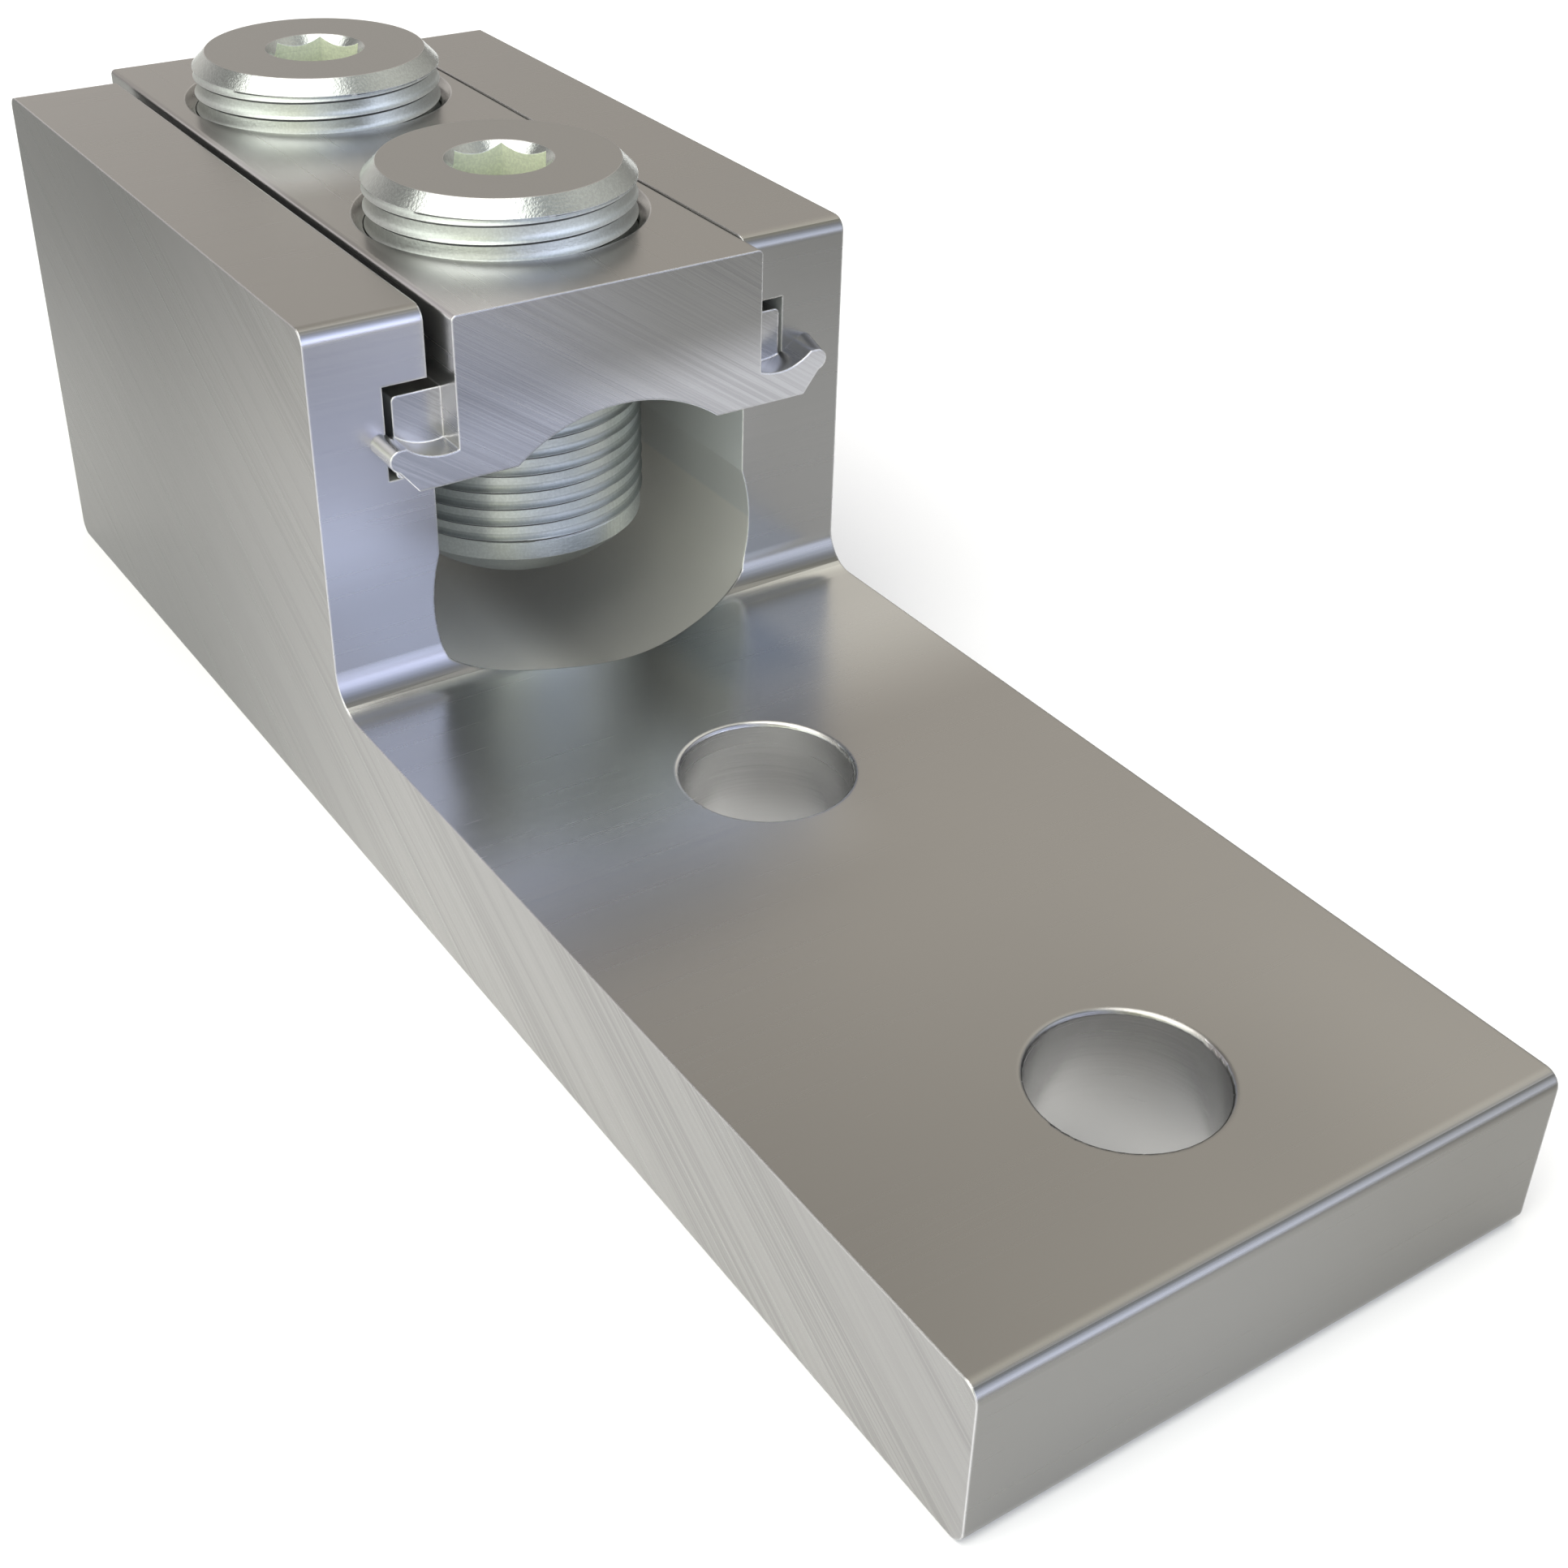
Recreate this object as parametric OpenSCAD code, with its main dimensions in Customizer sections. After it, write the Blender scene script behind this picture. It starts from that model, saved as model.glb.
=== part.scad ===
// Two-hole terminal lug with a slide-in cap and two set screws.
// Millimetres, +Z up. The origin is midway between the bolt holes on the mounting face.
// +X points along the tang to its tip, and the cable comes in from -X.

/* [Lug body] */
// Width of the barrel and the tang
lug_w = 50.8; // [47:0.1:60]
// Length of the barrel along the cable
barrel_l = 69.6; // [66:0.1:90]
// Height of the barrel above the mounting face
barrel_h = 47.6; // [46:0.1:56]
// Thickness of the tang
tang_t = 14.1; // [10:0.1:16]
// Radius on the outer corners of the extruded outline
corner_r = 1.3; // [0.5:0.1:3]
// Radius in the inside corner between the barrel and the tang
fillet_r = 3.2; // [1:0.1:6]

/* [Bolt holes] */
// Diameter of each bolt hole
bolt_hole_d = 14.3; // [10:0.1:18]
// Distance between the centres of the two bolt holes
bolt_pitch = 44.45; // [30:0.05:60]
// Distance from the outer bolt hole's centre to the tip of the tang
tip_gap = 15.875; // [12:0.025:24]
// Distance from the barrel's front face to the inner bolt hole's centre
root_gap = 27.2; // [20:0.1:40]
// Radius of the rounded rim at each end of a bolt hole
bolt_hole_round = 0.4; // [0.1:0.05:1]

/* [Cable bore] */
// Diameter of the drilled bore that takes the cable
bore_d = 31.9; // [31:0.1:34]
// Thickness of the metal left under the bore
floor_t = 4.9; // [4:0.1:8]
// How far the full bore runs past the barrel's front face
bore_past = 0.3; // [0:0.1:2]
// Included angle of the drill point that ends the bore
drill_angle = 118; // [90:1:140]

/* [Slot and grooves] */
// Width of the slot over the bore
slot_w = 30.3; // [29:0.1:30.8]
// Width across both grooves, from outer wall to outer wall
groove_w = 38.2; // [37:0.1:42]
// Height of the groove floor above the mounting face
groove_z = 33.5; // [32.5:0.1:35]
// Height of each groove
groove_h = 8.2; // [7.5:0.1:10]

/* [Cap] */
// Gap between the cap's neck and the slot wall on the -Y side
neck_gap_left = 1.1; // [0.1:0.05:1.5]
// Gap between the cap's neck and the slot wall on the +Y side
neck_gap_right = 0.1; // [0.1:0.05:1.5]
// Gap between the cap's flange and the groove wall on the -Y side
flange_gap_left = 0.7; // [0.1:0.05:1]
// Gap between the cap's flange and the groove wall on the +Y side
flange_gap_right = 0.35; // [0.1:0.05:1]
// Gap between the top of the flanges and the groove roof
flange_gap_top = 1; // [0.1:0.05:1.5]
// Radius on the outer edges of the cap's outline
cap_edge_r = 0.45; // [0.1:0.05:0.8]
// How far the cap stands out past the barrel's front face
cap_out_front = 2.9; // [1.5:0.1:6]
// How far the cap stands out past the barrel's back face
cap_out_back = 3.5; // [1.5:0.1:6]

/* [Staked cap ends] */
// Sideways distance from the screw row to the middle of each punched scoop
punch_y = 16.1; // [15.5:0.1:17]
// Radius of the punch that leaves the scoop
punch_r = 5.2; // [4.8:0.1:6]
// Thickness of the flange that is left under the scoop
punch_floor = 2.65; // [2:0.05:3.2]
// Sideways distance from the screw row to the middle of the rounded lip, at the cap's end
lip_y = 20.1; // [20:0.1:21]
// Height of the middle of the rounded lip above the groove floor, at the cap's end
lip_z = 2.95; // [2.5:0.05:3.4]
// Radius of the rounded lip that laps over the barrel's end face
lip_r = 0.95; // [0.6:0.05:1.2]
// How much further out the lip stands where it meets the barrel
lip_lean_y = 0.4; // [0:0.05:0.8]
// How much higher the lip stands where it meets the barrel
lip_lean_z = 0.5; // [0:0.05:0.8]
// Sideways distance from the screw row to the foot of the lip's sloping underside
lip_foot_y = 18.7; // [18:0.1:19]

/* [Screws] */
// Major diameter of the set screws
screw_d = 23.9; // [20:0.1:24.5]
// Radial gap between a screw and its hole in the cap
screw_gap = 0.08; // [0.03:0.01:0.1]
// Length of each screw from the flat top to the bottom of the dome
screw_l = 38.1; // [34:0.1:42]
// How far the screws stand out above the cap
screw_out = 4.5; // [1.5:0.1:10]
// Distance between the centres of the two screws
screw_pitch = 38.5; // [27:0.1:40]
// Distance from the cap's front end to the centre of the front screw
screw_end_gap = 20; // [17:0.1:22]
// Sideways distance from the lug's centre line to the screw row
row_y = 0.9; // [-0.5:0.05:1.5]
// Width and height of the bevel round the top of each screw
screw_bevel = 1.35; // [0.5:0.05:2]
// Width of the bevel at the mouth of each screw hole
hole_bevel = 0.95; // [0.3:0.05:1.5]
// Radius of the domed tip
dome_r = 15.7; // [14:0.1:20]
// Radius of the plain band between the thread and the dome
band_r = 11.7; // [9:0.1:11.7]
// Height of the plain band between the thread and the dome
band_h = 2.3; // [1:0.1:4]
// Size of the hex socket across its flats
hex_af = 7.94; // [6:0.01:10]
// Depth of the hex socket
hex_depth = 11; // [6:0.5:16]
// Diameter of the bevelled mouth of the hex socket
hex_mouth_d = 9.6; // [9.4:0.1:12]

/* [Hidden] */
$fn = 96;
// Extra length of a cutting tool past the face that it cuts through
cut = 1;

front_x = -bolt_pitch / 2 - root_gap;
back_x = front_x - barrel_l;
tip_x = bolt_pitch / 2 + tip_gap;

bore_r = bore_d / 2;
bore_z = floor_t + bore_r;
drill_point = bore_r / tan(drill_angle / 2);
groove_top = groove_z + groove_h;

neck_left = -slot_w / 2 + neck_gap_left;
neck_right = slot_w / 2 - neck_gap_right;
flange_left = -groove_w / 2 + flange_gap_left;
flange_right = groove_w / 2 - flange_gap_right;
flange_top = groove_top - flange_gap_top;
scoop_z = groove_z + punch_floor + punch_r;
// Radius of the leaning part of a lip, which starts just inside the straight part at the cap's end
lean_r = lip_r - 0.05;

screw_r = screw_d / 2;
screw_hole_r = screw_r + screw_gap;
screw_tip_z = barrel_h + screw_out - screw_l;
screw_front_x = front_x + cap_out_front - screw_end_gap;
screw_back_x = screw_front_x - screw_pitch;
dome_h = dome_r - sqrt(dome_r * dome_r - band_r * band_r);
hex_corner_r = hex_af / sqrt(3);
hex_point = hex_corner_r / tan(drill_angle / 2);

// A rectangle from one corner to the other, with the same radius on each corner
module round_rect(low, high, r) {
    translate([low[0] + r, low[1]]) square([high[0] - low[0] - 2 * r, high[1] - low[1]]);
    translate([low[0], low[1] + r]) square([high[0] - low[0], high[1] - low[1] - 2 * r]);
    for (x = [low[0] + r, high[0] - r], y = [low[1] + r, high[1] - r]) translate([x, y]) circle(r);
}

// Turns a YZ outline into a bar along X, from one x to another
module bar_x(from, to) {
    translate([from, 0, 0]) rotate([90, 0, 90]) linear_extrude(to - from) children();
}

// Turns an XZ outline into a bar along Y, from one y to another
module bar_y(from, to) {
    translate([0, to, 0]) rotate([90, 0, 0]) linear_extrude(to - from) children();
}

// Side view of the extrusion that the lug is sawn from
module lug_outline() {
    round_rect([back_x, 0], [front_x, barrel_h], corner_r);
    round_rect([back_x, 0], [tip_x, tang_t], corner_r);
    difference() {
        translate([front_x - fillet_r, tang_t - fillet_r]) square(2 * fillet_r);
        translate([front_x + fillet_r, tang_t + fillet_r]) circle(fillet_r);
    }
}

// The drilled bore with its drill point
module cable_bore() {
    translate([back_x - cut, 0, bore_z]) rotate([0, 90, 0]) {
        cylinder(h = barrel_l + bore_past + cut, r = bore_r);
        translate([0, 0, barrel_l + bore_past + cut]) cylinder(h = drill_point, r1 = bore_r, r2 = 0);
    }
}

// End view of the slot, with a groove on each side
module slot_outline() {
    translate([-slot_w / 2, bore_z]) square([slot_w, barrel_h - bore_z + cut]);
    translate([-groove_w / 2, groove_z]) square([groove_w, groove_h]);
}

// The cutter that rounds over the upper rim of a bolt hole, with the face at z = 0
module hole_rim(r) {
    rotate_extrude() difference() {
        translate([0, -bolt_hole_round]) square([r + bolt_hole_round, bolt_hole_round + cut]);
        translate([r + bolt_hole_round, -bolt_hole_round]) circle(bolt_hole_round);
    }
}

module bolt_hole() {
    r = bolt_hole_d / 2;
    translate([0, 0, -cut]) cylinder(h = tang_t + 2 * cut, r = r);
    translate([0, 0, tang_t]) hole_rim(r);
    rotate([180, 0, 0]) hole_rim(r);
}

// Barrel and tang, one piece
module body() {
    color([0.66, 0.66, 0.65]) difference() {
        bar_y(-lug_w / 2, lug_w / 2) lug_outline();
        cable_bore();
        bar_x(back_x - cut, front_x + cut) slot_outline();
        for (x = [-bolt_pitch / 2, bolt_pitch / 2]) translate([x, 0, 0]) bolt_hole();
    }
}

// End view of the cap where it sits in the barrel: a neck on two flanges
module cap_outline() {
    round_rect([neck_left, groove_z], [neck_right, barrel_h], cap_edge_r);
    round_rect([flange_left, groove_z], [flange_right, flange_top], cap_edge_r);
}

// The lip beside one scoop, on the +Y side of the screw row
module lip_outline() {
    lip_top = groove_z + lip_z;
    polygon([
        [0, groove_z], [lip_foot_y, groove_z], [lip_y + lip_r, lip_top],
        [lip_y, lip_top + lip_r], [0, lip_top + lip_r]
    ]);
    translate([lip_y, lip_top]) circle(lip_r);
}

// End view of the cap where it stands out of the barrel, with both flanges staked
module staked_outline() {
    translate([neck_left, groove_z]) square([neck_right - neck_left, flange_top - groove_z]);
    round_rect([neck_left, groove_z], [neck_right, barrel_h], cap_edge_r);
    for (side = [-1, 1]) translate([row_y, 0]) scale([side, 1]) difference() {
        lip_outline();
        translate([punch_y, scoop_z]) circle(punch_r);
    }
}

// One rounded lip: it leans in and down from the barrel's face, at from, to the cap's end, at to
module lip(side, from, to) {
    lean = [to - from, -side * lip_lean_y, -lip_lean_z];
    reach = abs(to - from);
    intersection() {
        translate([from, row_y + side * (lip_y + lip_lean_y), groove_z + lip_z + lip_lean_z])
            rotate([0, acos(lean[2] / norm(lean)), atan2(lean[1], lean[0])])
            translate([0, 0, -cut]) cylinder(h = norm(lean) + 2 * cut, r = lean_r);
        translate([min(from, to), row_y + side * lip_y - 2 * lip_r, groove_z])
            cube([reach, 4 * lip_r, groove_h]);
    }
}

// The hole for one screw, with a bevelled mouth
module screw_hole() {
    translate([0, 0, groove_z - cut]) cylinder(h = barrel_h - groove_z + 2 * cut, r = screw_hole_r);
    translate([0, 0, barrel_h - hole_bevel])
        cylinder(h = hole_bevel + cut, r1 = screw_hole_r, r2 = screw_hole_r + hole_bevel + cut);
}

// Slide-in cap: its arch carries the bore on into the cap's underside
module cap() {
    color([0.68, 0.68, 0.67]) difference() {
        union() {
            bar_x(back_x, front_x) cap_outline();
            bar_x(front_x, front_x + cap_out_front) staked_outline();
            bar_x(back_x - cap_out_back, back_x) staked_outline();
            for (side = [-1, 1]) {
                lip(side, front_x, front_x + cap_out_front);
                lip(side, back_x, back_x - cap_out_back);
            }
        }
        bar_x(back_x - cap_out_back - cut, front_x + cap_out_front + cut)
            translate([row_y, bore_z]) circle(bore_r);
        for (x = [screw_front_x, screw_back_x]) translate([x, row_y, 0]) screw_hole();
    }
}

// Half section of a screw, from the tip of the dome to the flat top
module screw_section() {
    top = screw_l;
    polygon([
        [0, dome_h], [band_r, dome_h], [band_r, dome_h + band_h], [screw_r, dome_h + band_h],
        [screw_r, top - screw_bevel], [screw_r - screw_bevel, top], [0, top]
    ]);
    intersection() {
        translate([0, dome_r]) circle(dome_r);
        square([band_r, dome_h]);
    }
}

// Hex socket in the top of a screw, with a bevelled mouth and a drilled end
module hex_socket() {
    mouth_r = hex_mouth_d / 2;
    flat_r = hex_af / 2;
    translate([0, 0, screw_l - hex_depth]) rotate([0, 0, 30])
        cylinder(h = hex_depth + cut, r = hex_corner_r, $fn = 6);
    translate([0, 0, screw_l - hex_depth - hex_point]) cylinder(h = hex_point, r1 = 0, r2 = flat_r);
    translate([0, 0, screw_l - mouth_r + flat_r])
        cylinder(h = mouth_r - flat_r + cut, r1 = flat_r, r2 = mouth_r + cut);
}

// One set screw: a plain cylinder stands for the thread
module screw() {
    difference() {
        rotate_extrude() screw_section();
        hex_socket();
    }
}

module screw_front() {
    color([0.72, 0.73, 0.71]) translate([screw_front_x, row_y, screw_tip_z]) screw();
}

module screw_back() {
    color([0.72, 0.73, 0.71]) translate([screw_back_x, row_y, screw_tip_z]) screw();
}

body();
cap();
screw_front();
screw_back();
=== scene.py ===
"""A two-hole terminal lug with a slide-in cap and two threaded set screws, on a studio floor."""
import math

import bmesh
import bpy
from mathutils import Matrix, Vector


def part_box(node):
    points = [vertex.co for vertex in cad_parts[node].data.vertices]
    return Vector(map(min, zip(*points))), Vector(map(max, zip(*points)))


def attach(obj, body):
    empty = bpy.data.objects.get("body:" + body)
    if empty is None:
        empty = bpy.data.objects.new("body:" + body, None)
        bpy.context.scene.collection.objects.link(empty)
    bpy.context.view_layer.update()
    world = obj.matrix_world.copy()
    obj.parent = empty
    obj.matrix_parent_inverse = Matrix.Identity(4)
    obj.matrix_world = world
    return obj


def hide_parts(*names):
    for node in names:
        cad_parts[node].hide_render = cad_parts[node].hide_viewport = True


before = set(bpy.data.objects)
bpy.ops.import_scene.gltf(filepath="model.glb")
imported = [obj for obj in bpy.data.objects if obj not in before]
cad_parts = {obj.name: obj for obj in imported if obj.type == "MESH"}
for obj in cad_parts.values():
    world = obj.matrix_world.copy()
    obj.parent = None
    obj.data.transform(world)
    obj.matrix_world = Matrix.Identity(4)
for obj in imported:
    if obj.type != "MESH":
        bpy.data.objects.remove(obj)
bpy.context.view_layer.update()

MM = 0.001

# Camera, in the lug's own frame
CAMERA_PLACE = Vector((100.242, -83.658, 112.752)) * MM
CAMERA_FORWARD = Vector((-0.67987, 0.47457, -0.55907))
CAMERA_UP = Vector((-0.47527, 0.29544, 0.82875))
CAMERA_LENS = 50.0
CAMERA_SENSOR = 36.0
CAMERA_NEAREST = 0.005
CAMERA_FARTHEST = 20.0

# Sizes of the solids that the materials go by
HALF_WIDTH = 25.4 * MM
BARREL_FRONT_X = -49.4 * MM
BARREL_TOP_Z = 47.6 * MM
TANG_TOP_Z = 14.1 * MM
BORE_Z = 20.85 * MM
BORE_R = 15.95 * MM
HALF_SLOT = 15.15 * MM
HALF_GROOVE = 19.1 * MM
GROOVE_TOP_Z = 41.7 * MM
HOLE_X = 22.225 * MM
HOLE_R = 7.15 * MM
ROW_Y = 0.9 * MM
FRONT_SCREW_X = -66.525 * MM
BACK_SCREW_X = -105.025 * MM
SCREW_TOP_Z = 52.1 * MM

# Screw thread and socket
THREAD_PITCH = 1.617 * MM
THREAD_DEPTH = 0.34 * MM
# Height of the groove above the tip where it crosses the +X side of the screw
THREAD_START = 0.52 * MM
# Height above the tip where the plain band ends and the thread begins
BAND_TOP = 6.9 * MM
# How fast the screw widens from the band to the thread's crests, in radius for each unit of height
THREAD_RAMP = 0.6
# Where the rows of one turn lie along the pitch, and how deep each one is cut
THREAD_ROWS = (
    (0.00, 1.00), (0.15, 0.08), (0.18, 0.00), (0.25, 0.24),
    (0.32, 0.48), (0.42, 0.68), (0.58, 0.84), (0.78, 0.93),
)
# Height above the mounting face, with the screw at rest, from which the thread is shaded
THREAD_LOW_Z = 20.95 * MM
SCREW_STEPS = 144
DOME_ROWS = 8
SCREW_BEVEL = 1.35 * MM
BAND_R = 11.7 * MM
DOME_R = 15.7 * MM
# A row this far from an edge keeps the shading of one face from running into the next
EDGE_ROW = 0.03 * MM
HEX_FLAT = 3.97 * MM
HEX_DEPTH = 11 * MM
HEX_MOUTH_R = 4.8 * MM
HEX_DRILL_R = 0.9 * HEX_FLAT
HEX_POINT = 0.6 * HEX_FLAT
SHARP_ANGLE = math.radians(28)

# Colours of the body
FLAT_METAL = (0.500, 0.490, 0.470)
TANG_BACK_REFLECTION_METAL = (0.820, 0.825, 0.805)
TANG_BACK_LEFT_REFLECTION_METAL = (0.900, 0.895, 0.865)
TANG_BACK_MID_REFLECTION_METAL = (0.960, 0.970, 0.960)
TANG_BACK_DARK_REFLECTION_METAL = (0.580, 0.620, 0.665)
TANG_TIP_METAL = (0.425, 0.415, 0.397)
ROUNDING_REFLECTION_METAL = (0.230, 0.228, 0.205)
SAWN_METAL = (0.396, 0.390, 0.385)
SAWN_BARREL_SHADE = (0.132, 0.133, 0.129)
SCORED_METAL = (0.140, 0.140, 0.135)
FRONT_METAL = (0.450, 0.452, 0.490)
FRONT_LOW_SHADE_METAL = (0.310, 0.311, 0.335)
FRONT_RIGHT_SHADE_METAL = (0.230, 0.230, 0.226)
TIP_METAL = (0.238, 0.235, 0.227)
TIP_RIGHT_SHADE_METAL = (0.190, 0.184, 0.170)
BORE_NEAR_LIGHT_METAL = (0.980, 0.970, 0.900)
BORE_METAL = (0.700, 0.695, 0.655)
SLOT_METAL = (0.620, 0.640, 0.625)
NECK_SHADE_METAL = (0.120, 0.120, 0.120)
HOLE_METAL = (0.590, 0.590, 0.590)
HOLE_UPPER_LIGHT_METAL = (0.900, 0.905, 0.900)
CLOUD_METAL = (0.300, 0.300, 0.300)
# Pale colour painted on edges as a highlight
EDGE_HIGHLIGHT_METAL = (0.950, 0.950, 0.970)

# Colours of the cap
CAP_END_METAL = (0.365, 0.367, 0.390)
CAP_END_RIGHT_SHADE_METAL = (0.238, 0.238, 0.236)
CAP_END_LOW_REFLECTION_METAL = (0.480, 0.484, 0.512)
CAP_TOP_MID_REFLECTION_METAL = (0.820, 0.830, 0.830)
CAP_TOP_FRONT_REFLECTION_METAL = (0.880, 0.875, 0.900)
CAP_SIDE_REFLECTION_METAL = (0.800, 0.800, 0.790)
CAP_SIDE_BACK_METAL = (0.300, 0.300, 0.290)
CAP_UNDER_LIGHT_METAL = (0.780, 0.790, 0.770)
CAP_SCORED_METAL = (0.170, 0.170, 0.180)

# Colours of the screws
SCREW_TOP = (0.412, 0.402, 0.384)
PLATING = (0.530, 0.560, 0.535)
PLATING_CLOUD = (0.550, 0.580, 0.580)
PLATING_SPECKLE = (0.250, 0.260, 0.250)
PLATING_MIDDLE_SHADE = (0.400, 0.420, 0.400)
PLATING_SIDE_LIGHT = (0.780, 0.820, 0.800)
PLATING_SHADED = (0.130, 0.145, 0.145)
PLATING_UNDERCUT_SHADE = (0.070, 0.070, 0.080)
SOCKET_PLATING = (0.800, 0.850, 0.660)

# Marks in the metal: the direction they run in, their width and their length
BODY_DIE_MARKS = ((0, 1, 0), 0.3 * MM, 40 * MM)
BODY_SAW_MARKS = ((0.86, 0, -0.51), 0.28 * MM, 60 * MM)
BORE_MARKS = ((1, 0, 0), 1.1 * MM, 60 * MM)
CAP_DIE_MARKS = ((1, 0, 0), 0.3 * MM, 40 * MM)
CAP_SAW_MARKS = ((0, 0.82, -0.57), 0.22 * MM, 40 * MM)
# Drilling marks round the bolt holes, as marks for each metre along X, Y and Z
HOLE_MARKS = (50, 50, 2500)

# Floor: its colours, and for each side the direction of its pale part, and where that starts
# and is full
FLOOR_WHITE = (0.93, 0.93, 0.93)
FLOOR_PALE = (0.55, 0.55, 0.54)
FLOOR_LEFT = ((-0.299, -0.954, 0.0), 70 * MM, 130 * MM)
FLOOR_RIGHT = ((0.774, 0.634, 0.0), 50 * MM, 120 * MM)
FLOOR_SIZE = 8.0
FLOOR_DROP = 0.05 * MM

# The main light, a round softbox: direction from +X towards +Y, elevation, inner and outer angle
# of its rim, and colour
KEY_LIGHT = (-75, 66, 25, 37, (3.15, 3.1, 2.97))

# Soft patches of the studio's sky: direction, elevation, sharpness and colour
SKY_LIGHTS = (
    (95, 35, 6, (0.30, 0.29, 0.27)),
    (85, 62, 12, (0.66, 0.64, 0.56)),
    (135, 32, 8, (0.47, 0.44, 0.40)),
    (180, 5, 8, (0.72, 0.69, 0.66)),
    (225, 5, 8, (0.48, 0.43, 0.45)),
    (270, 5, 8, (2.7, 2.8, 2.6)),
    (315, 5, 8, (1.3, 1.3, 0.9)),
    (0, 5, 8, (0.85, 0.85, 1.2)),
    (50, 5, 6, (0.75, 0.76, 0.80)),
    (0, 32, 8, (0.30, 0.40, 0.55)),
    (18, 1, 16, (1.20, 1.32, 1.66)),
    (38, 12, 16, (0.85, 0.94, 1.16)),
)

# For each kind of mix: the inputs of its two values, and its output
MIX_SOCKETS = {"FLOAT": (2, 3, 0), "VECTOR": (4, 5, 1), "RGBA": (6, 7, 2)}


def put(tree, socket, value):
    """Gives a socket a value, or joins another node's output to it."""
    if isinstance(value, bpy.types.NodeSocket):
        tree.links.new(value, socket)
    elif socket.type == "RGBA":
        socket.default_value = (*value, 1.0)
    else:
        socket.default_value = value


def add(tree, kind, *values, **named):
    """Adds a node, and fills its inputs in order and by name."""
    made = tree.nodes.new(kind)
    for socket, value in zip(made.inputs, values):
        put(tree, socket, value)
    for name, value in named.items():
        put(tree, made.inputs[name], value)
    return made


def calculate(tree, operation, *values):
    made = add(tree, "ShaderNodeMath", *values)
    made.operation = operation
    return made.outputs[0]


def times(tree, first, *others):
    for other in others:
        first = calculate(tree, "MULTIPLY", first, other)
    return first


def rest_of(tree, share):
    return calculate(tree, "SUBTRACT", 1.0, share)


def away(tree, value, middle=0.0):
    """Distance of a number from a middle value."""
    return calculate(tree, "ABSOLUTE", calculate(tree, "SUBTRACT", value, middle))


def along(tree, place, way):
    """How far a place lies along a direction."""
    made = add(tree, "ShaderNodeVectorMath", place, way)
    made.operation = "DOT_PRODUCT"
    return made.outputs["Value"]


def vectors(tree, operation, first, second):
    made = add(tree, "ShaderNodeVectorMath", first, second)
    made.operation = operation
    return made.outputs["Vector"]


def scaled(tree, vector, amount):
    made = add(tree, "ShaderNodeVectorMath", vector)
    made.operation = "SCALE"
    put(tree, made.inputs["Scale"], amount)
    return made.outputs["Vector"]


def mix(tree, kind, share, first, second):
    """The first value where the share is 0, and the second where it is 1."""
    made = tree.nodes.new("ShaderNodeMix")
    made.data_type = kind
    first_at, second_at, result = MIX_SOCKETS[kind]
    for at, value in ((0, share), (first_at, first), (second_at, second)):
        put(tree, made.inputs[at], value)
    return made.outputs[result]


def mix_value(tree, share, first, second):
    return mix(tree, "FLOAT", share, first, second)


def mix_place(tree, share, first, second):
    return mix(tree, "VECTOR", share, first, second)


def mix_colour(tree, share, first, second):
    return mix(tree, "RGBA", share, first, second)


def split(tree, place):
    return add(tree, "ShaderNodeSeparateXYZ", place).outputs


def fade(tree, value, none, full):
    """A smooth share from 0, where the value is at none, to 1, where it is at full."""
    made = add(tree, "ShaderNodeMapRange", value, none, full)
    made.interpolation_type = "SMOOTHSTEP"
    return made.outputs[0]


def drawn_out(tree, place, way, width, length):
    """The place in units of width, squeezed along one direction: noise read there gives lines."""
    way = tuple(Vector(way).normalized())
    taken = scaled(tree, way, times(tree, along(tree, place, way), 1 - width / length))
    return vectors(tree, "MULTIPLY", vectors(tree, "SUBTRACT", place, taken), (1 / width,) * 3)


def noise(tree, place, size=1.0, detail=2.0):
    made = add(tree, "ShaderNodeTexNoise",
               Vector=place, Scale=1.0 / size, Detail=detail, Roughness=0.6)
    return made.outputs["Fac"]


def patchy(tree, place, scale, none, full):
    """Broad patches in which marks lie thicker."""
    broad = noise(tree, vectors(tree, "MULTIPLY", place, (scale,) * 3), detail=0.0)
    return fade(tree, broad, none, full)


def distance(tree, across, up):
    """Length of a line from how far it goes across and up."""
    squares = calculate(tree, "MULTIPLY_ADD", across, across, times(tree, up, up))
    return calculate(tree, "SQRT", squares)


def facing(tree, axis, signed=False):
    """How squarely the true surface faces along one axis: 0 to 1, or -1 to 1 with its sign."""
    geometry = tree.nodes.new("ShaderNodeNewGeometry")
    turned = add(tree, "ShaderNodeVectorTransform", geometry.outputs["True Normal"])
    turned.vector_type = "NORMAL"
    turned.convert_from = "WORLD"
    turned.convert_to = "OBJECT"
    part = split(tree, turned.outputs["Vector"])["XYZ".index(axis)]
    return part if signed else calculate(tree, "ABSOLUTE", part)


def new_material(name):
    made = bpy.data.materials.new(name)
    made.use_nodes = True
    tree = made.node_tree
    tree.nodes.clear()
    place = tree.nodes.new("ShaderNodeTexCoord").outputs["Object"]
    return made, tree, place


def show(tree, shader, kind="ShaderNodeOutputMaterial"):
    add(tree, kind, shader.outputs[0])


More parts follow.
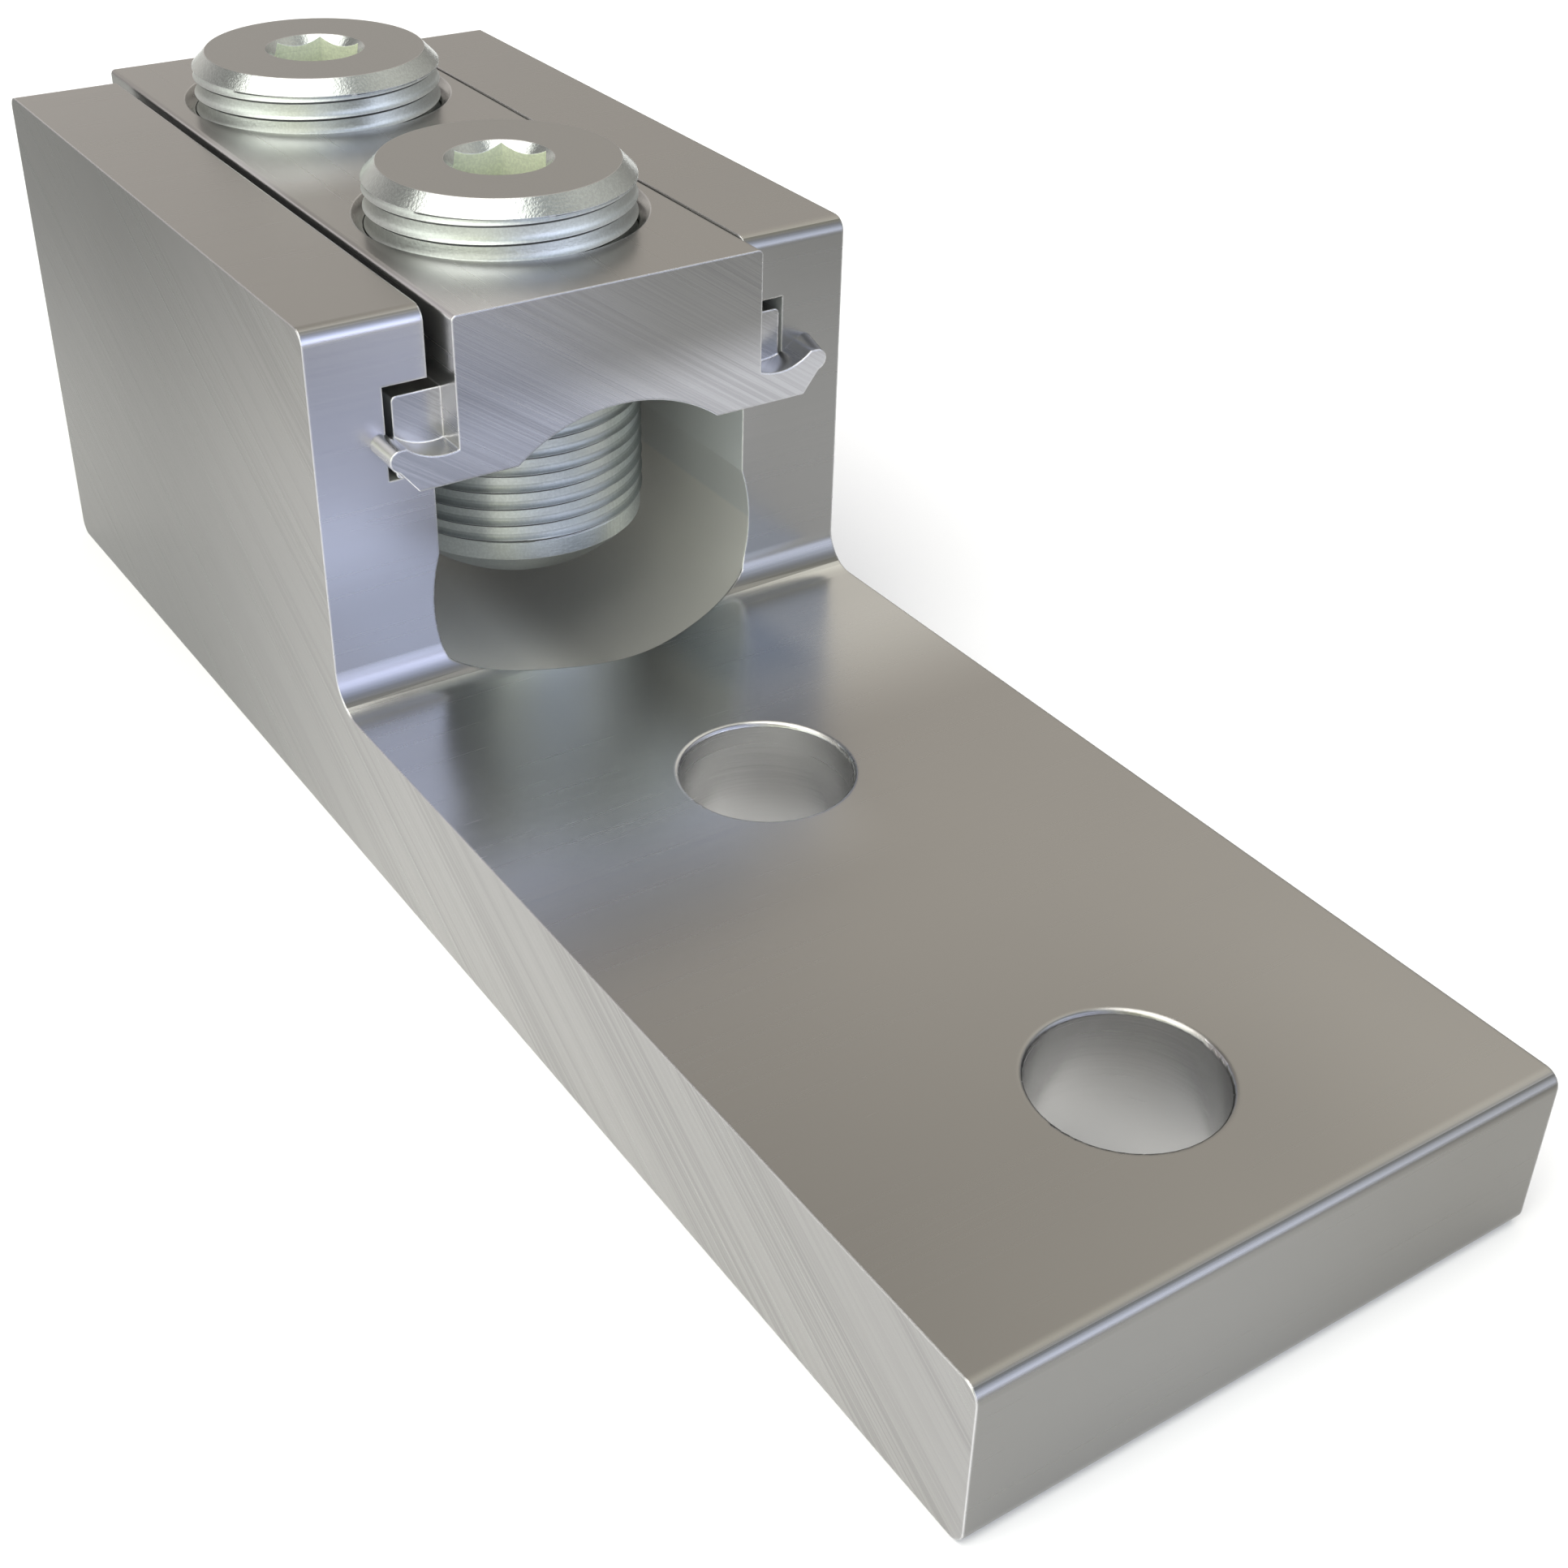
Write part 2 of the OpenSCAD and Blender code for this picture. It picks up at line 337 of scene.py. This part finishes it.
def finish_metal(tree, colour, roughness, height, strength, edge, metallic, edge_highlight):
    """Joins colour, roughness and surface height into one metal with soft edges and a painted edge
    highlight.
    """
    edges = add(tree, "ShaderNodeBevel", Radius=edge)
    edges.samples = 4
    flat = tree.nodes.new("ShaderNodeNewGeometry").outputs["True Normal"]
    alike = along(tree, edges.outputs["Normal"], flat)
    # Painted highlight: at edges, where the bevel's normal leans off the true one, the colour
    # turns pale
    painted_highlight = times(tree, fade(tree, alike, 0.985, 0.90), edge_highlight)
    bump = add(tree, "ShaderNodeBump", Strength=strength, Distance=0.05 * MM, Height=height,
               Normal=edges.outputs["Normal"])
    show(tree, add(tree, "ShaderNodeBsdfPrincipled", **{
        "Base Color": mix_colour(tree, painted_highlight, colour, EDGE_HIGHLIGHT_METAL),
        "Metallic": metallic,
        "Roughness": roughness,
        "Normal": bump.outputs["Normal"],
    }))


def body_material():
    """Extruded, sawn and drilled aluminium, told apart by where a face lies and how it faces."""
    made, tree, place = new_material("lug_aluminium")
    x, y, z = split(tree, place)
    off_middle = away(tree, y)
    facing_x = fade(tree, facing(tree, "X"), 0.3, 0.97)
    facing_y = fade(tree, facing(tree, "Y"), 0.6, 0.97)

    # What each face is
    sawn = times(tree, facing_y,
                 fade(tree, off_middle, HALF_WIDTH - 0.2 * MM, HALF_WIDTH - 0.1 * MM))
    reach = distance(tree, y, calculate(tree, "SUBTRACT", z, BORE_Z))
    in_bore = fade(tree, reach, BORE_R + 0.2 * MM, BORE_R)
    in_neck = fade(tree, off_middle, HALF_SLOT + 0.15 * MM, HALF_SLOT + 0.05 * MM)
    in_groove = times(tree, fade(tree, off_middle, HALF_GROOVE + 0.2 * MM, HALF_GROOVE + 0.1 * MM),
                      fade(tree, z, GROOVE_TOP_Z + 0.3 * MM, GROOVE_TOP_Z + 0.1 * MM))
    in_slot = times(tree, calculate(tree, "MAXIMUM", in_neck, in_groove),
                    fade(tree, z, BORE_Z, BORE_Z + 0.5 * MM),
                    fade(tree, z, BARREL_TOP_Z - 0.1 * MM, BARREL_TOP_Z - 0.2 * MM))
    barrel = fade(tree, x, BARREL_FRONT_X + 0.2 * MM, BARREL_FRONT_X)
    end_face = times(tree, facing_x, fade(tree, x, -52 * MM, -50 * MM))
    inside = times(tree, calculate(tree, "MAXIMUM", in_bore, in_slot), barrel,
                   rest_of(tree, end_face))
    in_hole = times(tree, rest_of(tree, barrel),
                    fade(tree, off_middle, HOLE_R + 0.35 * MM, HOLE_R + 0.05 * MM),
                    fade(tree, away(tree, away(tree, x), HOLE_X),
                         HOLE_R + 0.45 * MM, HOLE_R + 0.15 * MM),
                    fade(tree, facing(tree, "Z"), 0.4, 0.2))

    # Marks: from the extrusion die, the saw and the drills
    saw_place = drawn_out(tree, place, *BODY_SAW_MARKS)
    mark_place = mix_place(tree, sawn, drawn_out(tree, place, *BODY_DIE_MARKS), saw_place)
    mark_place = mix_place(tree, inside, mark_place, drawn_out(tree, place, *BORE_MARKS))
    mark_place = mix_place(tree, in_hole, mark_place, vectors(tree, "MULTIPLY", place, HOLE_MARKS))
    marks = noise(tree, mark_place)
    patches = patchy(tree, saw_place, 0.16, 0.42, 0.62)
    scored = times(tree, fade(tree, marks, 0.60, 0.40),
                   calculate(tree, "MULTIPLY_ADD", patches, 0.20, 0.10))
    depth = mix_value(tree, sawn, 0.28, mix_value(tree, patches, 0.8, 1.9))
    depth = mix_value(tree, in_hole, mix_value(tree, inside, depth, 0.08), 1.2)
    height = times(tree, calculate(tree, "SUBTRACT", marks, 0.5), depth)

    # Barrel front and tang tip
    # Painted shade: the barrel front darker low down, and the front and the tang tip darker to the
    # right
    right = fade(tree, y, -8 * MM, 20 * MM)
    front = mix_colour(tree, fade(tree, z, 32 * MM, 22 * MM), FRONT_METAL, FRONT_LOW_SHADE_METAL)
    front = mix_colour(tree, right, front, FRONT_RIGHT_SHADE_METAL)
    tip = mix_colour(tree, right, TIP_METAL, TIP_RIGHT_SHADE_METAL)
    ends = mix_colour(tree, fade(tree, x, -40 * MM, 20 * MM), front, tip)

    # Flat top of the tang and of the barrel
    # Painted reflections in the tang's top by the barrel: pale where it mirrors the barrel, with a
    # dark patch where it mirrors the bore's mouth. Towards the tip the top is darker.
    back = mix_colour(tree, fade(tree, y, -20 * MM, 8 * MM), TANG_BACK_LEFT_REFLECTION_METAL, TANG_BACK_REFLECTION_METAL)
    middle = times(tree, fade(tree, y, -22.5 * MM, -16.5 * MM), fade(tree, y, 4 * MM, -8 * MM))
    back = mix_colour(tree, middle, back, TANG_BACK_MID_REFLECTION_METAL)
    by_bore = times(tree, fade(tree, x, -30 * MM, -38 * MM),
                    fade(tree, away(tree, y, 8.5 * MM), 7 * MM, 2.5 * MM))
    back = mix_colour(tree, by_bore, back, TANG_BACK_DARK_REFLECTION_METAL)
    by_barrel = mix_value(tree, fade(tree, y, -2 * MM, 6 * MM), fade(tree, x, -6 * MM, -26 * MM),
                          fade(tree, x, -22 * MM, -40 * MM))
    by_barrel = times(tree, by_barrel, fade(tree, z, TANG_TOP_Z + 1.1 * MM, TANG_TOP_Z + 0.1 * MM))
    by_tip = times(tree, fade(tree, x, -5 * MM, 30 * MM), fade(tree, y, 22 * MM, 2 * MM))
    flat = mix_colour(tree, by_barrel, mix_colour(tree, by_tip, FLAT_METAL, TANG_TIP_METAL), back)
    # Painted reflection: a dark band on the rounded edges, where they face about 50 degrees off
    # the X axis
    turned = fade(tree, away(tree, facing(tree, "X"), 0.64), 0.10, 0.04)
    flat = mix_colour(tree, turned, flat, ROUNDING_REFLECTION_METAL)

    # Sawn sides, bore, slot and bolt holes
    # Painted shade: the sawn sides darken towards the back of the barrel
    side = mix_colour(tree, fade(tree, x, -30 * MM, -95 * MM), SAWN_METAL, SAWN_BARREL_SHADE)
    side = mix_colour(tree, scored, side, SCORED_METAL)
    # Painted light: the bore's floor on the near side is paler, and less metallic
    near_side = times(tree, fade(tree, y, 5 * MM, -2 * MM), fade(tree, z, 26 * MM, 19 * MM))
    bore = mix_colour(tree, near_side, BORE_METAL, BORE_NEAR_LIGHT_METAL)
    # Painted shade: the slot's walls beside the cap's neck are dark, as in the narrow gap
    neck_wall = times(tree, facing_y,
                      fade(tree, z, GROOVE_TOP_Z - 0.1 * MM, GROOVE_TOP_Z + 0.1 * MM))
    slot = mix_colour(tree, neck_wall, SLOT_METAL, NECK_SHADE_METAL)
    # Painted light: the upper wall of the hole by the barrel is paler
    upper = times(tree, fade(tree, x, 5 * MM, -5 * MM), fade(tree, z, 7 * MM, 12 * MM))
    hole = mix_colour(tree, upper, HOLE_METAL, HOLE_UPPER_LIGHT_METAL)

    colour = mix_colour(tree, facing_x, flat, ends)
    colour = mix_colour(tree, sawn, colour, side)
    colour = mix_colour(tree, inside, colour, mix_colour(tree, in_slot, bore, slot))
    colour = mix_colour(tree, in_hole, colour, hole)
    clouds = times(tree, noise(tree, place, 14 * MM, 1.0), 0.08)
    colour = mix_colour(tree, clouds, colour, CLOUD_METAL)
    roughness = calculate(tree, "MULTIPLY_ADD", marks, 0.08, mix_value(tree, inside, 0.22, 0.42))
    dull = calculate(tree, "MULTIPLY_ADD", near_side, 0.50, 0.45)
    metallic = rest_of(tree, times(tree, inside, dull))
    # Share of painted edge highlight, none inside the bore
    edge_highlight = times(tree, rest_of(tree, inside), 0.8)
    finish_metal(tree, colour, roughness, height,
                 strength=0.10, edge=0.25 * MM, metallic=metallic, edge_highlight=edge_highlight)
    return made


def cap_material():
    """Extruded aluminium with sawn ends, with painted reflections on its near half, paler between
    and before the screws, and painted light and shade on its ends, sides and underside.
    """
    made, tree, place = new_material("cap_aluminium")
    x, y, z = split(tree, place)
    facing_x = fade(tree, facing(tree, "X"), 0.6, 0.95)
    facing_y = fade(tree, facing(tree, "Y"), 0.6, 0.95)
    saw_place = drawn_out(tree, place, *CAP_SAW_MARKS)
    die_place = drawn_out(tree, place, *CAP_DIE_MARKS)
    marks = noise(tree, mix_place(tree, facing_x, die_place, saw_place))
    patches = patchy(tree, saw_place, 0.1, 0.35, 0.60)
    depth = mix_value(tree, facing_x,
                      mix_value(tree, facing_y, 0.2, 0.05), mix_value(tree, patches, 1.1, 1.9))
    height = times(tree, calculate(tree, "SUBTRACT", marks, 0.5), depth)

    # Painted shade on the ends to the right, and a paler painted reflection low down
    end = mix_colour(tree, fade(tree, y, -16 * MM, 8 * MM), CAP_END_METAL, CAP_END_RIGHT_SHADE_METAL)
    end = mix_colour(tree, fade(tree, z, 42 * MM, 36 * MM), end, CAP_END_LOW_REFLECTION_METAL)
    # Painted light: the cap's underside is paler
    under = times(tree, fade(tree, z, 39 * MM, 38 * MM),
                  fade(tree, away(tree, y), 13 * MM, 12 * MM))
    flat = mix_colour(tree, under, FLAT_METAL, CAP_UNDER_LIGHT_METAL)
    # Painted reflections on the top of the cap's near half: paler between the screws and before
    # the front screw
    on_top = fade(tree, z, 44 * MM, 46 * MM)
    between = times(tree, fade(tree, away(tree, x, -88 * MM), 12 * MM, 3 * MM),
                    fade(tree, y, -1 * MM, -7 * MM))
    flat = mix_colour(tree, times(tree, between, on_top), flat, CAP_TOP_MID_REFLECTION_METAL)
    at_front = times(tree, fade(tree, x, -62 * MM, -52 * MM), fade(tree, y, -1 * MM, -9 * MM))
    flat = mix_colour(tree, times(tree, at_front, on_top), flat, CAP_TOP_FRONT_REFLECTION_METAL)
    # Painted reflection: the sides are paler than the top; they also darken towards the back
    side = mix_colour(tree, fade(tree, x, -100 * MM, -120 * MM),
                      CAP_SIDE_REFLECTION_METAL, CAP_SIDE_BACK_METAL)

    colour = mix_colour(tree, facing_x, mix_colour(tree, facing_y, flat, side), end)
    scored = times(tree, fade(tree, marks, 0.58, 0.40),
                   calculate(tree, "MULTIPLY_ADD", patches, 0.16, 0.10), facing_x)
    colour = mix_colour(tree, scored, colour, CAP_SCORED_METAL)
    roughness = calculate(tree, "MULTIPLY_ADD", marks, 0.08, 0.22)
    finish_metal(tree, colour, roughness, height,
                 strength=0.18, edge=0.24 * MM, metallic=1.0, edge_highlight=0.7)
    return made


def screw_material():
    """Satin, speckled plating, greenish in the socket, with painted shade in the turns of the
    thread and painted light and shade in the bore.
    """
    made, tree, place = new_material("screw_plating")
    x, y, z = split(tree, place)
    speckle = noise(tree, place, 0.24 * MM)
    top = fade(tree, z, SCREW_TOP_Z - 0.05 * MM, SCREW_TOP_Z - 0.01 * MM)
    bevel = times(tree, fade(tree, z, SCREW_TOP_Z - 1.4 * MM, SCREW_TOP_Z - 1.3 * MM),
                  rest_of(tree, top))
    off_x = calculate(tree, "MINIMUM", away(tree, x, FRONT_SCREW_X), away(tree, x, BACK_SCREW_X))
    reach = distance(tree, off_x, away(tree, y, ROW_Y))
    socket = times(tree, fade(tree, reach, 4.65 * MM, 4.6 * MM),
                   fade(tree, facing(tree, "Z"), 0.5, 0.3))
    threaded = fade(tree, z, THREAD_LOW_Z, THREAD_LOW_Z + 0.1 * MM)
    in_bore = fade(tree, z, 44 * MM, 36 * MM)

    colour = mix_colour(tree, times(tree, noise(tree, place, 6 * MM), 0.3), PLATING, PLATING_CLOUD)
    # In the bore: painted shade where the screw faces along X, and painted light on its +Y side
    across = facing(tree, "Y", signed=True)
    lit = times(tree, fade(tree, away(tree, across, 0.1), 0.35, 0.10), in_bore)
    colour = mix_colour(tree, lit, colour, PLATING_MIDDLE_SHADE)
    on_side = times(tree, fade(tree, across, 0.30, 0.60), in_bore)
    colour = mix_colour(tree, on_side, colour, PLATING_SIDE_LIGHT)
    colour = mix_colour(tree, socket, colour, SOCKET_PLATING)
    speckled = mix_colour(tree, 0.25, colour, PLATING_SPECKLE)
    colour = mix_colour(tree, fade(tree, speckle, 0.75, 0.35), colour, speckled)
    # Painted shade on the thread's rising faces in the bore and on its undercuts
    rise = facing(tree, "Z", signed=True)
    shaded = times(tree, fade(tree, rise, 0.03, 0.30), threaded, in_bore, 0.6)
    colour = mix_colour(tree, shaded, colour, PLATING_SHADED)
    undercut = times(tree, fade(tree, rise, -0.2, -0.5), threaded, 0.85)
    colour = mix_colour(tree, undercut, colour, PLATING_UNDERCUT_SHADE)
    colour = mix_colour(tree, top, colour, SCREW_TOP)

    height = mix_value(tree, top, times(tree, speckle, mix_value(tree, bevel, 1.3, 1.8)), 0.5)
    roughness = calculate(tree, "MULTIPLY_ADD", speckle, 0.10, mix_value(tree, bevel, 0.30, 0.16))
    metallic = calculate(tree, "MULTIPLY_ADD", socket, -0.6, 0.9)
    finish_metal(tree, colour, roughness, height,
                 strength=0.25, edge=0.08 * MM, metallic=metallic, edge_highlight=0.5)
    return made


def floor_material():
    """White under and round the lug, and a paler grey further out to its sides."""
    made, tree, place = new_material("studio_floor")
    way, none, full = FLOOR_LEFT
    left = times(tree, fade(tree, along(tree, place, way), none, full),
                 fade(tree, split(tree, place)[0], 0.0, -50 * MM))
    way, none, full = FLOOR_RIGHT
    right = fade(tree, along(tree, place, way), none, full)
    colour = mix_colour(tree, calculate(tree, "MAXIMUM", left, right), FLOOR_WHITE, FLOOR_PALE)
    show(tree, add(tree, "ShaderNodeBsdfDiffuse", colour))
    return made


def step_angle(step):
    return 2 * math.pi * step / SCREW_STEPS


def thread_rows(base, top, crest_r):
    """Rings of (radius, height) that climb one pitch a round, kept between band and bevel."""
    rows = []
    thread_low, bevel_low = base + BAND_TOP, top - SCREW_BEVEL
    first = math.floor((thread_low - base - THREAD_START) / THREAD_PITCH) - 1
    last = math.ceil((top - base - THREAD_START) / THREAD_PITCH)
    for turn in range(first, last):
        for share, cut in THREAD_ROWS:
            ring = []
            for step in range(SCREW_STEPS + 1):
                height = base + THREAD_START + (turn + share + step / SCREW_STEPS) * THREAD_PITCH
                widest = min(BAND_R + max(0.0, height - thread_low) * THREAD_RAMP, crest_r)
                radius = min(crest_r - THREAD_DEPTH * cut, widest)
                if height <= thread_low:
                    radius, height = BAND_R, thread_low
                if height >= bevel_low:
                    radius, height = crest_r, bevel_low
                ring.append((radius, height))
            rows.append(ring)
    return rows


def screw_rows(base, top, crest_r):
    """Rings of (radius, height) from the domed tip, over the top, to the bottom of the socket."""
    def plain(radius, height):
        return [(radius, height)] * (SCREW_STEPS + 1)

    rows = []
    for row in range(1, DOME_ROWS + 1):
        angle = math.asin(BAND_R / DOME_R) * row / DOME_ROWS
        rows.append(plain(DOME_R * math.sin(angle), base + DOME_R * (1 - math.cos(angle))))
    thread_low, bevel_low = base + BAND_TOP, top - SCREW_BEVEL
    rows += [plain(BAND_R, thread_low - EDGE_ROW), plain(BAND_R, thread_low)]
    rows += thread_rows(base, top, crest_r)
    rows += [plain(crest_r, bevel_low), plain(crest_r - EDGE_ROW, bevel_low + EDGE_ROW)]
    rows += [plain(crest_r - SCREW_BEVEL, top), plain(HEX_MOUTH_R, top)]
    hex_ring = []
    for step in range(SCREW_STEPS + 1):
        off_flat = (step_angle(step) + math.pi / 6) % (math.pi / 3) - math.pi / 6
        hex_ring.append(HEX_FLAT / math.cos(off_flat))
    rows.append([(radius, top - HEX_MOUTH_R + radius) for radius in hex_ring])
    rows.append([(radius, top - HEX_DEPTH) for radius in hex_ring])
    rows.append(plain(HEX_DRILL_R, top - HEX_DEPTH))
    return rows


def threaded_screw(name, node):
    """A set screw: domed tip, plain band, helical thread, bevelled top and hex socket."""
    low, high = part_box(node)
    middle_x, middle_y = (low[0] + high[0]) / 2, (low[1] + high[1]) / 2
    base, top = low[2], high[2]

    mesh = bmesh.new()
    rings = []
    for row in screw_rows(base, top, (high[0] - low[0]) / 2):
        ring = []
        for step, (radius, height) in enumerate(row):
            angle = step_angle(step)
            off_x, off_y = radius * math.cos(angle), radius * math.sin(angle)
            ring.append(mesh.verts.new((middle_x + off_x, middle_y + off_y, height)))
        rings.append(ring)
    for here, above in zip(rings, rings[1:]):
        for step in range(SCREW_STEPS):
            mesh.faces.new((here[step], here[step + 1], above[step + 1], above[step]))
    tip = mesh.verts.new((middle_x, middle_y, base))
    end = mesh.verts.new((middle_x, middle_y, top - HEX_DEPTH - HEX_POINT))
    for step in range(SCREW_STEPS):
        mesh.faces.new((tip, rings[0][step + 1], rings[0][step]))
        mesh.faces.new((end, rings[-1][step], rings[-1][step + 1]))
    bmesh.ops.remove_doubles(mesh, verts=mesh.verts, dist=1e-7)
    bmesh.ops.dissolve_degenerate(mesh, edges=mesh.edges, dist=1e-7)
    bmesh.ops.recalc_face_normals(mesh, faces=mesh.faces)

    data = bpy.data.meshes.new(name)
    mesh.to_mesh(data)
    mesh.free()
    for face in data.polygons:
        face.use_smooth = True
    data.set_sharp_from_angle(angle=SHARP_ANGLE)
    piece = bpy.data.objects.new(name, data)
    bpy.context.scene.collection.objects.link(piece)
    return piece


def set_camera():
    data = bpy.data.cameras.new("camera")
    data.lens = CAMERA_LENS
    data.sensor_width = CAMERA_SENSOR
    data.clip_start = CAMERA_NEAREST
    data.clip_end = CAMERA_FARTHEST
    camera = bpy.data.objects.new("camera", data)
    bpy.context.scene.collection.objects.link(camera)
    camera.location = CAMERA_PLACE
    right = CAMERA_FORWARD.cross(CAMERA_UP).normalized()
    up = right.cross(CAMERA_FORWARD).normalized()
    turn = Matrix((right, up, -CAMERA_FORWARD.normalized())).transposed()
    camera.rotation_mode = "QUATERNION"
    camera.rotation_quaternion = turn.to_quaternion()
    bpy.context.scene.camera = camera


def towards(turn, rise):
    """The direction at an angle from +X towards +Y, and at an elevation, both in degrees."""
    turn, rise = math.radians(turn), math.radians(rise)
    return math.cos(turn) * math.cos(rise), math.sin(turn) * math.cos(rise), math.sin(rise)


def set_lights():
    """A pale studio: each light is a soft patch of the sky, wide where its sharpness is low."""
    world = bpy.data.worlds.new("studio")
    bpy.context.scene.world = world
    world.use_nodes = True
    tree = world.node_tree
    tree.nodes.clear()
    way = tree.nodes.new("ShaderNodeTexCoord").outputs["Generated"]

    turn, rise, inner, outer, colour = KEY_LIGHT
    near = along(tree, way, towards(turn, rise))
    rim = fade(tree, near, math.cos(math.radians(outer)), math.cos(math.radians(inner)))
    total = scaled(tree, colour, rim)
    for turn, rise, sharpness, colour in SKY_LIGHTS:
        near = along(tree, way, towards(turn, rise))
        falloff = calculate(tree, "MULTIPLY_ADD", near, sharpness, -sharpness)
        glow = scaled(tree, colour, calculate(tree, "EXPONENT", falloff))
        total = vectors(tree, "ADD", total, glow)
    show(tree, add(tree, "ShaderNodeBackground", total), "ShaderNodeOutputWorld")


def set_floor():
    bpy.ops.mesh.primitive_plane_add(size=FLOOR_SIZE, location=(0, 0, -FLOOR_DROP))
    floor = bpy.context.active_object
    floor.name = "floor"
    floor.data.materials.append(floor_material())


set_camera()
set_lights()
set_floor()

for node, metal in (("body", body_material()), ("cap", cap_material())):
    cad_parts[node].material_slots[0].material = metal
screw_metal = screw_material()
for node, body in (("screw_front", "front_screw"), ("screw_back", "back_screw")):
    screw = threaded_screw("threaded_" + node, node)
    screw.data.materials.append(screw_metal)
    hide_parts(node)
    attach(screw, body)

bpy.context.scene.view_settings.view_transform = "Standard"
